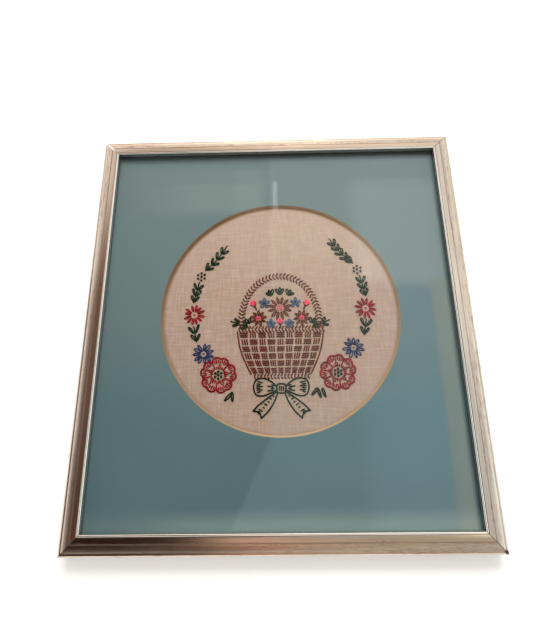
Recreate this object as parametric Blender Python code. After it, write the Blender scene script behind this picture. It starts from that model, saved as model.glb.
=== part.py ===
"""Framed embroidery: a mitred metallic moulding holding glass, a blue window mat, the linen and
its backing board.

The picture lies on its back. +X is to the right, +Y towards the top of the picture and +Z out
of its face. The origin is at the centre of the back of the frame.
"""

import math

import bmesh
import bpy
from mathutils import Matrix, Vector

# Driving sizes, in metres
SIGHT_WIDTH = 0.2388        # clear opening between the inner edges of the rails, across
SIGHT_HEIGHT = 0.2614       # and up the picture
RAIL_WIDTH = 0.0125         # half-inch moulding, seen from the front
RAIL_DEPTH = 0.0160         # from the back of the frame to the top of the bead
REBATE_WIDTH = 0.0050       # how far the lip covers the glass
LIP_DEPTH = 0.0048          # from the top of the bead down to the underside of the lip
SEAT_GAP = 0.0003           # between neighbouring pieces of the stack
MITRE_GAP = 0.0003          # open line at each corner
EDGE_CLEARANCE = 0.0010     # between the stack and the wall of the rebate

GLASS_THICKNESS = 0.0020
MAT_THICKNESS = 0.0014      # four-ply board
LINEN_THICKNESS = 0.0010
BACKING_THICKNESS = 0.0030

WINDOW_DIAMETER = 0.1651    # six and a half inches, at the face of the mat
WINDOW_CENTRE = (0.0016, 0.0056)    # the window sits a little right of centre, and high
WINDOW_SEGMENTS = 144

# Moulding section, outward from the sight edge
BEAD_RADIUS = 0.0005        # half-round bead along the sight edge
GROOVE_DEPTH = 0.0008       # fine groove beside the bead, below the bead's top
FLAT_START = 0.0016         # inner edge of the inner flat
FLAT_DROP = 0.0006          # and how far it lies below the bead's top
FLAT_END = 0.0050           # outer edge of the inner flat
FLAT_FALL = 0.0004          # and how far the flat falls outward
SLOPE_END = 0.0108          # where the outer slope meets the shoulder
SLOPE_FALL = 0.0018         # how far the outer slope falls
SLOPE_CROWN = 0.0002        # how far the outer slope bulges
ARC_STEPS = 8

# Heights of the stack above the back of the frame
LIP_UNDERSIDE = RAIL_DEPTH - LIP_DEPTH
GLASS_TOP = LIP_UNDERSIDE - SEAT_GAP
MAT_TOP = GLASS_TOP - GLASS_THICKNESS - SEAT_GAP
LINEN_TOP = MAT_TOP - MAT_THICKNESS - SEAT_GAP
BACKING_TOP = LINEN_TOP - LINEN_THICKNESS - SEAT_GAP

STACK_WIDTH = SIGHT_WIDTH + 2 * (REBATE_WIDTH - EDGE_CLEARANCE)
STACK_HEIGHT = SIGHT_HEIGHT + 2 * (REBATE_WIDTH - EDGE_CLEARANCE)

WELD_DISTANCE = 0.00001
SMOOTH_ANGLE = math.radians(24)

# Colour, roughness and metallic value of each finish
FINISHES = {
    "champagne_moulding": ((0.62, 0.54, 0.45), 0.34, 0.9),
    "clear_glass": ((0.90, 0.95, 0.94), 0.03, 0.0),
    "blue_mat": ((0.16, 0.28, 0.31), 0.85, 0.0),
    "natural_linen": ((0.66, 0.55, 0.45), 0.95, 0.0),
    "brown_board": ((0.36, 0.25, 0.16), 0.80, 0.0),
}


def clear_scene():
    for old in list(bpy.data.objects):
        bpy.data.objects.remove(old, do_unlink=True)


def new_collection(name):
    collection = bpy.data.collections.new(name)
    bpy.context.scene.collection.children.link(collection)
    return collection


def finish(name):
    """The Principled material of this name, made on first use."""
    material = bpy.data.materials.get(name)
    if material is None:
        colour, roughness, metallic = FINISHES[name]
        material = bpy.data.materials.new(name)
        material.use_nodes = True
        shader = material.node_tree.nodes["Principled BSDF"]
        shader.inputs["Base Color"].default_value = (*colour, 1.0)
        shader.inputs["Roughness"].default_value = roughness
        shader.inputs["Metallic"].default_value = metallic
    return material


def add_piece(name, bm, collection, finish_name):
    """Turns a bmesh into a named object with its finish."""
    mesh = bpy.data.meshes.new(name)
    bm.to_mesh(mesh)
    bm.free()
    mesh.materials.append(finish(finish_name))
    piece = bpy.data.objects.new(name, mesh)
    collection.objects.link(piece)
    return piece


# Moulding

def arc(centre, radius, first_deg, last_deg):
    """Points along a circular arc of the section."""
    points = []
    for i in range(ARC_STEPS + 1):
        angle = math.radians(first_deg + (last_deg - first_deg) * i / ARC_STEPS)
        points.append((centre[0] + radius * math.cos(angle), centre[1] + radius * math.sin(angle)))
    return points


def crowned_slope(start, end, crown):
    """Points between start and end, on a slope that bulges by crown at its middle."""
    points = []
    for i in range(1, ARC_STEPS):
        t = i / ARC_STEPS
        out = start[0] + (end[0] - start[0]) * t
        height = start[1] + (end[1] - start[1]) * t + crown * 4 * t * (1 - t)
        points.append((out, height))
    return points


def moulding_section():
    """The rail's section, as (distance out from the sight edge, height above the back)."""
    bead_centre = (BEAD_RADIUS, RAIL_DEPTH - BEAD_RADIUS)
    groove = (2 * BEAD_RADIUS, RAIL_DEPTH - GROOVE_DEPTH)
    flat_start = (FLAT_START, RAIL_DEPTH - FLAT_DROP)
    flat_end = (FLAT_END, flat_start[1] - FLAT_FALL)
    slope_end = (SLOPE_END, flat_end[1] - SLOPE_FALL)
    shoulder_radius = RAIL_WIDTH - SLOPE_END
    shoulder_centre = (SLOPE_END, slope_end[1] - shoulder_radius)
    points = [(0.0, LIP_UNDERSIDE)]
    points += arc(bead_centre, BEAD_RADIUS, 180, 0)
    points += [groove, flat_start, flat_end]
    points += crowned_slope(flat_end, slope_end, SLOPE_CROWN)
    points += arc(shoulder_centre, shoulder_radius, 90, 0)
    points += [(RAIL_WIDTH, 0.0), (REBATE_WIDTH, 0.0), (REBATE_WIDTH, LIP_UNDERSIDE)]
    return points


def moulding_blank(length, collection):
    """A square-ended length of moulding, along X, with its sight edge at Y 0 and its outer side
    towards -Y, as a bmesh."""
    outline = bpy.data.curves.new("moulding_section", "CURVE")
    outline.dimensions = "2D"
    outline.fill_mode = "BOTH"
    outline.extrude = length / 2
    points = moulding_section()
    spline = outline.splines.new("POLY")
    spline.points.add(len(points) - 1)
    for point, (out, height) in zip(spline.points, points):
        point.co = (out, height, 0.0, 1.0)
    spline.use_cyclic_u = True

    blank = bpy.data.objects.new("moulding_blank", outline)
    collection.objects.link(blank)
    depsgraph = bpy.context.evaluated_depsgraph_get()
    mesh = bpy.data.meshes.new_from_object(blank.evaluated_get(depsgraph))
    bpy.data.objects.remove(blank, do_unlink=True)
    bpy.data.curves.remove(outline)

    bm = bmesh.new()
    bm.from_mesh(mesh)
    bpy.data.meshes.remove(mesh)
    bmesh.ops.remove_doubles(bm, verts=bm.verts[:], dist=WELD_DISTANCE)
    stand_up = Matrix(((0, 0, -1), (-1, 0, 0), (0, 1, 0))).to_4x4()
    bmesh.ops.transform(bm, matrix=stand_up, verts=bm.verts[:])
    return bm


def cut_mitre(bm, sight_length, side):
    """Cuts one end at 45 degrees through its sight corner; side is +1 for the end at +X."""
    normal = Vector((side, 1.0, 0.0)).normalized()
    corner = Vector((side * sight_length / 2, 0.0, 0.0))
    geometry = bm.verts[:] + bm.edges[:] + bm.faces[:]
    bmesh.ops.bisect_plane(
        bm, geom=geometry, plane_co=corner - normal * (MITRE_GAP / 2), plane_no=normal, clear_outer=True
    )
    rim = [edge for edge in bm.edges if edge.is_boundary]
    bmesh.ops.holes_fill(bm, edges=rim, sides=0)


def make_rail(name, sight_length, turn_deg, sight_offset, collection):
    """One mitred rail, turned about +Z to its side and set sight_offset from the centre."""
    bm = moulding_blank(sight_length + 4 * RAIL_WIDTH, collection)
    for side in (-1, 1):
        cut_mitre(bm, sight_length, side)
    bmesh.ops.recalc_face_normals(bm, faces=bm.faces[:])
    rail = add_piece(name, bm, collection, "champagne_moulding")
    rail.data.shade_smooth()
    rail.data.set_sharp_from_angle(angle=SMOOTH_ANGLE)
    turn = Matrix.Rotation(math.radians(turn_deg), 3, "Z")
    rail.rotation_euler = turn.to_euler()
    rail.location = turn @ Vector((0.0, -sight_offset, 0.0))
    return rail


def make_rails(collection):
    make_rail("rail_bottom", SIGHT_WIDTH, 0, SIGHT_HEIGHT / 2, collection)
    make_rail("rail_right", SIGHT_HEIGHT, 90, SIGHT_WIDTH / 2, collection)
    make_rail("rail_top", SIGHT_WIDTH, 180, SIGHT_HEIGHT / 2, collection)
    make_rail("rail_left", SIGHT_HEIGHT, 270, SIGHT_WIDTH / 2, collection)


# Glass, mat, linen and backing board

def make_layer(name, top, thickness, finish_name, collection):
    """One flat layer of the stack, cut to the size of the rebate."""
    bm = bmesh.new()
    bmesh.ops.create_cube(bm, size=1.0)
    bmesh.ops.scale(bm, vec=(STACK_WIDTH, STACK_HEIGHT, thickness), verts=bm.verts[:])
    layer = add_piece(name, bm, collection, finish_name)
    layer.location = (0.0, 0.0, top - thickness / 2)
    return layer


def cut_window(mat, cutters):
    """Cuts the round window, whose edge slopes in at 45 degrees towards the linen."""
    overshoot = MAT_THICKNESS
    half_height = MAT_THICKNESS / 2 + overshoot
    face_radius = WINDOW_DIAMETER / 2
    bm = bmesh.new()
    bmesh.ops.create_cone(
        bm,
        cap_ends=True,
        segments=WINDOW_SEGMENTS,
        radius1=face_radius - MAT_THICKNESS - overshoot,
        radius2=face_radius + overshoot,
        depth=2 * half_height,
    )
    mesh = bpy.data.meshes.new("window_cutter")
    bm.to_mesh(mesh)
    bm.free()
    cutter = bpy.data.objects.new("window_cutter", mesh)
    cutter.location = (*WINDOW_CENTRE, MAT_TOP - MAT_THICKNESS / 2)
    cutter.display_type = "WIRE"
    cutter.hide_render = True
    cutters.objects.link(cutter)

    cut = mat.modifiers.new("window", "BOOLEAN")
    cut.operation = "DIFFERENCE"
    cut.solver = "EXACT"
    cut.object = cutter


def make_stack(collection, cutters):
    make_layer("glass", GLASS_TOP, GLASS_THICKNESS, "clear_glass", collection)
    mat = make_layer("mat", MAT_TOP, MAT_THICKNESS, "blue_mat", collection)
    cut_window(mat, cutters)
    make_layer("linen", LINEN_TOP, LINEN_THICKNESS, "natural_linen", collection)
    make_layer("backing_board", BACKING_TOP, BACKING_THICKNESS, "brown_board", collection)


def main():
    clear_scene()
    parts = new_collection("framed_embroidery")
    cutters = new_collection("cutters")
    make_rails(parts)
    make_stack(parts, cutters)


main()
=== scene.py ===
"""Framed embroidery, dressed: the champagne leaf moulding, the glass, the muted blue window mat,
the ecru linen and every stitch on it.

Lengths are metres, except in the stitching, which is laid out in millimetres from the centre of
the round window, x to the right and y up the picture.
"""

import math
import random

import bmesh
import bpy
from mathutils import Matrix, Vector


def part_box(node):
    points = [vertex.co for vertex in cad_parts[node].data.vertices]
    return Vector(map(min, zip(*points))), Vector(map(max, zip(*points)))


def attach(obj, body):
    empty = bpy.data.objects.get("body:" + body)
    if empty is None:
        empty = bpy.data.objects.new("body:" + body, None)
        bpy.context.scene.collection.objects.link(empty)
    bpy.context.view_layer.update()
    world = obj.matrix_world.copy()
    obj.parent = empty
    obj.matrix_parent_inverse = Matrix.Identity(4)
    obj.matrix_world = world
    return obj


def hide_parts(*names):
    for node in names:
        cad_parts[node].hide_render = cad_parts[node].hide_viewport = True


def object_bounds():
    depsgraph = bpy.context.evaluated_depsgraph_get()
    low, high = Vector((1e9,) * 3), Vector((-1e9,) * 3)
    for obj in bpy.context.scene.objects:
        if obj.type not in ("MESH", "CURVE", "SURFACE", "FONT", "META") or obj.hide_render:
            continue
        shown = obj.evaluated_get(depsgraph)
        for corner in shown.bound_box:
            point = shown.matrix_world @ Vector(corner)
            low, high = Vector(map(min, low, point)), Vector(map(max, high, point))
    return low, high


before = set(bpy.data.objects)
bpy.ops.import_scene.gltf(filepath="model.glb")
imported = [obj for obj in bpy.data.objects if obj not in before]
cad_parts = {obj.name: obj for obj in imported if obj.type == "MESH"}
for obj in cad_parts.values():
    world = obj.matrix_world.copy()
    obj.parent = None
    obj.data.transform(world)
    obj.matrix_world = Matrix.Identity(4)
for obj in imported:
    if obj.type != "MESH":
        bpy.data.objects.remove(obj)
CAD_BOX = [list(corner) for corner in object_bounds()]

MM = 0.001

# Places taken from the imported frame
SIGHT_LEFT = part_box("rail_left")[1][0]
SIGHT_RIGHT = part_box("rail_right")[0][0]
SIGHT_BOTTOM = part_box("rail_bottom")[1][1]
SIGHT_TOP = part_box("rail_top")[0][1]
SIGHT_WIDTH = SIGHT_RIGHT - SIGHT_LEFT
SIGHT_HEIGHT = SIGHT_TOP - SIGHT_BOTTOM
RAIL_WIDTH = SIGHT_LEFT - CAD_BOX[0][0]
RAIL_DEPTH = CAD_BOX[1][2]
MAT_LOW, MAT_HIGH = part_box("mat")
LINEN_LOW, LINEN_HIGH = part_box("linen")

# Window in the mat, as in the part
WINDOW_RADIUS = 82.55 * MM
WINDOW_CENTRE = (1.6 * MM, 5.6 * MM)

# Camera, in the photograph's frame of 533 by 644 pixels
PHOTO_WIDTH = 533
PHOTO_HEIGHT = 644
FOCAL_PIXELS = 513.9
AXIS_PIXEL = (271.0, 276.0)
CAMERA_PLACE = (2.003 * MM, -92.845 * MM, 333.690 * MM + RAIL_DEPTH)
CAMERA_RIGHT = (0.99969777, -0.01010047, -0.02241308)
CAMERA_DOWN = (-0.01719864, -0.93879439, -0.34404841)
SENSOR = 36.0


# Node helpers

class Wire:
    """A node's output. It is reckoned with like a number; times a tuple, it is a vector."""

    def __init__(self, socket):
        self.socket = socket
        self.tree = socket.id_data

    def __add__(self, other):
        return calc("ADD", self, other)

    def __sub__(self, other):
        return calc("SUBTRACT", self, other)

    def __rsub__(self, other):
        return calc("SUBTRACT", other, self)

    def __mul__(self, other):
        reckon = vector_calc if isinstance(other, tuple) else calc
        return reckon("MULTIPLY", self, other)

    def __truediv__(self, other):
        return calc("DIVIDE", self, other)

    def __abs__(self):
        return calc("ABSOLUTE", self)


def feed(socket, value):
    """Links a wire to the socket, or gives the socket a plain value: a colour with its alpha."""
    if isinstance(value, Wire):
        value.tree.links.new(value.socket, socket)
    else:
        socket.default_value = (*value, 1) if socket.type == "RGBA" else value


def fill(node, **inputs):
    """Feeds a node's sockets by name, with _ for a space."""
    for key, value in inputs.items():
        feed(node.inputs[key.replace("_", " ")], value)


def add_node(tree, kind, output=0, settings=None, in_turn=(), **inputs):
    """An output of a new node. settings are the node's properties, in_turn fills its first sockets
    and inputs the sockets of those names."""
    node = tree.nodes.new(kind)
    for key, value in (settings or {}).items():
        setattr(node, key, value)
    for socket, value in zip(node.inputs, in_turn):
        feed(socket, value)
    fill(node, **inputs)
    return Wire(node.outputs[output])


def calc(operation, *operands, clamp=False):
    """A sum on numbers, at least one of them a wire."""
    tree = next(value.tree for value in operands if isinstance(value, Wire))
    settings = {"operation": operation, "use_clamp": clamp}
    return add_node(tree, "ShaderNodeMath", 0, settings, operands)


def vector_calc(operation, *operands, **inputs):
    settings = {"operation": operation}
    return add_node(operands[0].tree, "ShaderNodeVectorMath", 0, settings, operands, **inputs)


def most(wire, *others):
    for other in others:
        wire = calc("MAXIMUM", wire, other)
    return wire


def fade(wire, low, high, start=0.0, end=1.0):
    """Goes smoothly from start to end while the wire goes from low to high."""
    return add_node(
        wire.tree, "ShaderNodeMapRange", 0, {"interpolation_type": "SMOOTHSTEP"},
        Value=wire, From_Min=low, From_Max=high, To_Min=start, To_Max=end,
    )


def mixed(cover, first, second, blend="MIX"):
    """The first colour, covered so far by the second."""
    node = cover.tree.nodes.new("ShaderNodeMix")
    node.data_type = "RGBA"
    node.blend_type = blend
    for place, value in ((0, cover), (6, first), (7, second)):
        feed(node.inputs[place], value)
    return Wire(node.outputs[2])


def coated(colour, *coats):
    """The colour under coats, each of them how far it covers, and its colour."""
    for cover, *coat in coats:
        colour = mixed(cover, colour, *coat)
    return colour


def ramp(factor, *stops):
    """Colours along factor: each stop is its place and its colour."""
    node = factor.tree.nodes.new("ShaderNodeValToRGB")
    elements = node.color_ramp.elements
    while len(elements) < len(stops):
        elements.new(0.5)
    for element, (place, colour) in zip(elements, stops):
        element.position = place
        element.color = (*colour, 1)
    feed(node.inputs[0], factor)
    return Wire(node.outputs[0])


def noise(vector, scale=1.0, detail=3.0, roughness=0.55):
    return add_node(
        vector.tree, "ShaderNodeTexNoise",
        Vector=vector, Scale=scale, Detail=detail, Roughness=roughness,
    )


def split(vector):
    node = vector.tree.nodes.new("ShaderNodeSeparateXYZ")
    feed(node.inputs[0], vector)
    return [Wire(output) for output in node.outputs]


def attribute(shader, name):
    return add_node(shader.id_data, "ShaderNodeAttribute", "Fac", {"attribute_name": name})


def emptied(holder):
    """The node tree of a material or a world, with nothing in it."""
    holder.use_nodes = True
    holder.node_tree.nodes.clear()
    return holder.node_tree


def new_finish(name):
    """A new material and its Principled shader."""
    material = bpy.data.materials.new(name)
    material.use_nodes = True
    return material, material.node_tree.nodes["Principled BSDF"]


def object_place(shader):
    return add_node(shader.id_data, "ShaderNodeTexCoord", "Object")


def bump(shader, height, distance, strength):
    fill(shader, Normal=add_node(
        height.tree, "ShaderNodeBump", Height=height, Distance=distance, Strength=strength
    ))


# Mesh helpers

def piece_from(name, bm, *materials):
    mesh = bpy.data.meshes.new(name)
    bm.to_mesh(mesh)
    bm.free()
    for material in materials:
        mesh.materials.append(material)
    piece = bpy.data.objects.new(name, mesh)
    bpy.context.scene.collection.objects.link(piece)
    return piece


def smooth_shaded(piece, sharp_deg):
    piece.data.shade_smooth()
    piece.data.set_sharp_from_angle(angle=math.radians(sharp_deg))


def made_plain(piece):
    """Turns a piece's evaluated shape into its own plain mesh and removes its modifiers."""
    depsgraph = bpy.context.evaluated_depsgraph_get()
    mesh = bpy.data.meshes.new_from_object(piece.evaluated_get(depsgraph))
    piece.modifiers.clear()
    old = piece.data
    piece.data = mesh
    mesh.name = piece.name
    bpy.data.meshes.remove(old)


# Moulding

BEAD_RADIUS = 0.65 * MM
SLOPE_STEPS = 7
FACE_LOW = 8.0 * MM         # the face of a rail lies above this height
UNEVENNESS = 0.012 * MM     # of the face, along the rail
BARE_REACH = 1.0 * MM       # how far the bare ground shows from an open joint
CHIP_REACH = 2.4 * MM       # and a chip from the end of a rail
GRAIN_SHIFT = 0.4           # between the grain of one rail and the next


def arc(centre, radius, first_deg, last_deg, steps):
    points = []
    for i in range(steps + 1):
        angle = math.radians(first_deg + (last_deg - first_deg) * i / steps)
        points.append((centre[0] + radius * math.cos(angle), centre[1] + radius * math.sin(angle)))
    return points


def softened(before, corner, after, radius, steps=3):
    """The corner of a section, rounded off: points on a curve that leaves the corner by radius."""
    c = Vector(corner)
    start = c + (Vector(before) - c).normalized() * radius
    end = c + (Vector(after) - c).normalized() * radius
    points = []
    for i in range(steps + 1):
        t = i / steps
        point = start * (1 - t) ** 2 + c * (2 * t * (1 - t)) + end * t ** 2
        points.append((point.x, point.y))
    return points


def moulding_section():
    """(points, marks): the section as (out from the sight edge, height), and the distance along
    it at which each band of the finish begins."""
    lip = 11.2 * MM
    rebate = 5.0 * MM
    groove = (2 * BEAD_RADIUS, RAIL_DEPTH - 0.8 * MM)
    flat_start = (1.8 * MM, RAIL_DEPTH - 0.6 * MM)
    flat_end = (5.0 * MM, flat_start[1] - 0.4 * MM)
    slope_end = (10.8 * MM, flat_end[1] - 1.8 * MM)
    shoulder_radius = RAIL_WIDTH - slope_end[0]
    shoulder_centre = (slope_end[0], slope_end[1] - shoulder_radius)
    crown = 0.2 * MM
    bands = {
        "wall": [(0.0, lip), (0.0, lip + 1.2 * MM), (0.0, lip + 2.4 * MM)],
        "bead": arc((BEAD_RADIUS, RAIL_DEPTH - BEAD_RADIUS), BEAD_RADIUS, 180, 0, 14),
        "groove": [groove],
        "flat": softened(groove, flat_start, flat_end, 0.2 * MM)
        + softened(flat_start, flat_end, slope_end, 0.35 * MM, 4),
        "slope": [],
        "shoulder": arc(shoulder_centre, shoulder_radius, 90, 0, 10),
        "side": [(RAIL_WIDTH, 8.0 * MM), (RAIL_WIDTH, 4.0 * MM)]
        + softened((RAIL_WIDTH, 4 * MM), (RAIL_WIDTH, 0.0), (8 * MM, 0.0), 0.4 * MM),
        "back": [(9.0 * MM, 0.0), (rebate, 0.0)],
        "rebate": [(rebate, 5.0 * MM), (rebate, lip)],
    }
    for i in range(1, SLOPE_STEPS + 1):
        t = i / (SLOPE_STEPS + 1)
        out = flat_end[0] + (slope_end[0] - flat_end[0]) * t
        height = flat_end[1] + (slope_end[1] - flat_end[1]) * t + crown * 4 * t * (1 - t)
        bands["slope"].append((out, height))
    points = []
    marks = {}
    along = 0.0
    for band, band_points in bands.items():
        for point in band_points:
            if points:
                along += (Vector(point) - Vector(points[-1])).length
            if band not in marks:
                marks[band] = along
            points.append(point)
    return points, marks


SECTION, MARKS = moulding_section()
MITRE_GAP = 0.3 * MM
STATION_STEP = 1.9 * MM
END_STATIONS = (0.0, 0.3 * MM, 0.7 * MM, 1.2 * MM, 2.0 * MM)

# Corners of the frame: how far the joint has opened at its outer tip, how bare its white ground
# shows along the joint, and how far its tip is chipped
CORNERS = {
    "tight": (0.0, 0.0, 0.0),
    "open": (0.35 * MM, 1.0, 0.0),
    "chipped": (0.0, 0.0, 1.0),
}


def rail_shape(length, corners, seed):
    """A mitred rail along X with its outer side towards -Y. corners are the kinds of corner at its
    -X and at its +X end."""
    dice = random.Random(seed)
    waves = [
        (dice.uniform(20, 160), dice.uniform(0, 6.28), dice.uniform(0.2, 1.0)) for _ in range(5)
    ]
    bm = bmesh.new()
    uv_layer = bm.loops.layers.uv.new("along_across")
    ground = bm.verts.layers.float.new("ground")
    chip = bm.verts.layers.float.new("chip")
    across = [0.0]
    for a, b in zip(SECTION, SECTION[1:]):
        across.append(across[-1] + (Vector(b) - Vector(a)).length)
    across.append(across[-1] + (Vector(SECTION[0]) - Vector(SECTION[-1])).length)
    kinds = [CORNERS[corner] for corner in corners]
    middle = round((length - 2 * END_STATIONS[-1]) / STATION_STEP)
    stations = [d / length for d in END_STATIONS]
    span = 1 - 2 * stations[-1]
    stations += [stations[-1] + span * i / middle for i in range(1, middle)]
    stations += [1 - d / length for d in reversed(END_STATIONS)]
    rings = []
    for t in stations:
        ring = []
        for out, height in SECTION:
            ends = [
                side * (length / 2 + out - MITRE_GAP / math.sqrt(2) - kind[0] * out / RAIL_WIDTH)
                for side, kind in zip((-1, 1), kinds)
            ]
            x = ends[0] + (ends[1] - ends[0]) * t
            lift = 0.0
            if 2.0 * MM < out < RAIL_WIDTH - 0.1 * MM and height > FACE_LOW:
                lift = UNEVENNESS * sum(w * math.sin(f * x + p + out * 400) for f, p, w in waves)
            vert = bm.verts.new((x, -out, height + lift))
            for end, kind in zip(ends, kinds):
                gone = abs(x - end)
                if height > FACE_LOW and out > 4 * MM:
                    vert[ground] += kind[1] * max(0.0, 1 - gone / BARE_REACH)
                if out > 10.2 * MM:
                    vert[chip] += kind[2] * max(0.0, 1 - gone / CHIP_REACH)
            ring.append(vert)
        rings.append(ring)
    count = len(SECTION)
    for ring, following in zip(rings, rings[1:]):
        for j in range(count):
            k = (j + 1) % count
            face = bm.faces.new((ring[j], ring[k], following[k], following[j]))
            for loop, row in zip(face.loops, (j, j + 1, j + 1, j)):
                loop[uv_layer].uv = (loop.vert.co.x + seed * GRAIN_SHIFT, across[row])
    for ring in (rings[0], rings[-1]):
        face = bm.faces.new(ring)
        for loop in face.loops:
            loop[uv_layer].uv = (loop.vert.co.x + seed * GRAIN_SHIFT, MARKS["rebate"])
    bmesh.ops.recalc_face_normals(bm, faces=bm.faces[:])
    return bm


def leaf_finish():
    """Champagne silver leaf over dark brown: a smooth bright bead and inner flat, a brushed outer
    slope with brown grain, and rubbed edges. The groove beside the bead is painted dark as shade,
    and the foot of the inner wall is painted near black as its shadow."""
    material, shader = new_finish("champagne_leaf")
    uv = add_node(shader.id_data, "ShaderNodeUVMap", 0, {"uv_map": "along_across"})
    _, across, _ = split(uv)
    hairline = noise(uv * (24.0, 3600.0, 1.0), 1.0, 5.0, 0.6)
    grain = noise(uv * (130.0, 3000.0, 1.0), 1.0, 5.0, 0.62)
    tone = fade(noise(uv * (9.0, 420.0, 1.0), 1.0, 3.0, 0.5), 0.35, 0.65)
    patch = noise(uv * (55.0, 420.0, 1.0), 1.0, 5.0, 0.65)
    speck = noise(uv * (420.0, 1500.0, 1.0), 1.0, 4.0, 0.7)
    wear = noise(uv * (16.0, 150.0, 1.0), 1.0, 3.0, 0.6)
    timber = noise(uv * (25.0, 1600.0, 1.0), 1.0, 5.0, 0.6)

    flat_leaf = mixed(tone, (0.66, 0.575, 0.49), (0.74, 0.67, 0.585))
    slope_leaf = mixed(tone, (0.63, 0.54, 0.455), (0.73, 0.655, 0.57))
    streaks = fade(grain, 0.49, 0.60) * fade(wear, 0.40, 0.62, 0.18, 0.8)
    slope_leaf = mixed(streaks, slope_leaf, (0.27, 0.155, 0.11))
    on_slope = fade(across, MARKS["slope"] - 0.25 * MM, MARKS["slope"] + 0.25 * MM)
    leaf = mixed(on_slope, flat_leaf, slope_leaf)
    leaf = mixed(fade(hairline, 0.36, 0.52, 0.45, 0.0), leaf, (0.36, 0.24, 0.17))

    from_crease = abs(across - (MARKS["slope"] - 0.3 * MM))
    crease = fade(from_crease, 0.6 * MM, 0.1 * MM) * fade(hairline, 0.40, 0.55, 0.35, 1.0)
    rubbed = fade(from_crease, 1.6 * MM, 0.3 * MM) * fade(patch, 0.54, 0.66)
    rubbed = rubbed * fade(speck, 0.42, 0.58)
    from_side = abs(across - MARKS["side"])
    scuffed = fade(from_side, 3.2 * MM, 0.6 * MM) * fade(patch, 0.50, 0.64)
    scuffed = scuffed * fade(speck, 0.50, 0.60)
    worn = most(rubbed, scuffed, crease * 0.75)

    bead, groove = MARKS["bead"], MARKS["groove"]
    in_bead = calc("COMPARE", across, (bead + groove) / 2, (groove - bead) / 2)
    # Painted shade: the groove beside the bead is coloured dark brown in place of its shadow.
    groove_painted_shade = calc("COMPARE", across, groove + 0.1 * MM, 0.25 * MM)
    on_wall = fade(across, bead + 0.5 * MM, bead + 0.1 * MM)
    # Painted shadow: the lowest 2.6 mm of the inner wall, down to the glass, is coloured near black
    # and made dull.
    lip_foot_painted_shadow = fade(across, 2.6 * MM, 0.2 * MM)
    bare = fade(across, MARKS["back"] - 0.3 * MM, MARKS["back"])
    wood = ramp(timber, (0.3, (0.42, 0.28, 0.16)), (0.7, (0.62, 0.46, 0.30)))
    ground = fade(attribute(shader, "ground") + speck * 0.7, 0.85, 1.05)
    chip = fade(attribute(shader, "chip") + speck * 0.5, 0.62, 0.78)
    colour = coated(
        leaf,
        (worn, (0.085, 0.040, 0.026)),
        (in_bead, (0.88, 0.85, 0.80)),
        (groove_painted_shade * 0.8, (0.15, 0.07, 0.045)),
        (on_wall, (0.33, 0.335, 0.33)),
        (lip_foot_painted_shadow, (0.006, 0.007, 0.008)),
        (bare, wood),
        (ground, (0.86, 0.84, 0.80)),
        (chip, (0.075, 0.016, 0.012)),
    )

    dull = most(ground, chip, bare, lip_foot_painted_shadow)
    metal = (1.0 - worn * 0.35) * (1.0 - dull) * (1.0 - on_wall * 0.08)
    rough = fade(grain, 0.3, 0.7, 0.11, 0.20) + worn * 0.1 + on_slope * 0.06 - in_bead * 0.05
    rough = calc("ADD", rough, dull * 0.5, clamp=True)
    fill(shader, Base_Color=colour, Metallic=metal, Roughness=rough)
    bump(shader, hairline * 0.5 + grain * 0.5, 0.012 * MM, 0.5)
    return material


def make_rails():
    finish = leaf_finish()
    plan = [
        ("moulding_bottom", "rail_bottom", SIGHT_WIDTH, 0, SIGHT_HEIGHT / 2, ("tight", "chipped")),
        ("moulding_right", "rail_right", SIGHT_HEIGHT, 90, SIGHT_WIDTH / 2, ("chipped", "tight")),
        ("moulding_top", "rail_top", SIGHT_WIDTH, 180, SIGHT_HEIGHT / 2, ("tight", "open")),
        ("moulding_left", "rail_left", SIGHT_HEIGHT, 270, SIGHT_WIDTH / 2, ("open", "tight")),
    ]
    for seed, (name, node, length, turn_deg, offset, corners) in enumerate(plan):
        bm = rail_shape(length, corners, seed)
        turn = Matrix.Rotation(math.radians(turn_deg), 4, "Z") @ Matrix.Translation((0, -offset, 0))
        bmesh.ops.transform(bm, matrix=turn, verts=bm.verts[:])
        rail = piece_from(name, bm, finish)
        smooth_shaded(rail, 35)
        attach(rail, "root")
        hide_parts(node)


# Glass

def glass_finish():
    """Thin clear picture glass: what lies behind shows through, under a faint mirror of the room
    that strengthens towards grazing angles."""
    material = bpy.data.materials.new("picture_glass")
    tree = emptied(material)
    clear = add_node(tree, "ShaderNodeBsdfTransparent", Color=(0.985, 0.995, 0.990))
    mirror = add_node(tree, "ShaderNodeBsdfGlossy", Color=(1.0, 1.0, 1.0), Roughness=0.015)
    facing = add_node(tree, "ShaderNodeLayerWeight", "Facing", Blend=0.5)
    mirrored = calc("POWER", facing, 5.0) * 0.95 + 0.042
    both = add_node(tree, "ShaderNodeMixShader", in_turn=(mirrored, clear, mirror))
    fill(tree.nodes.new("ShaderNodeOutputMaterial"), Surface=both)
    return material


def dress_node(node, material):
    """Gives a CAD node its finish."""
    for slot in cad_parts[node].material_slots:
        slot.material = material


# Window mat

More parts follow.
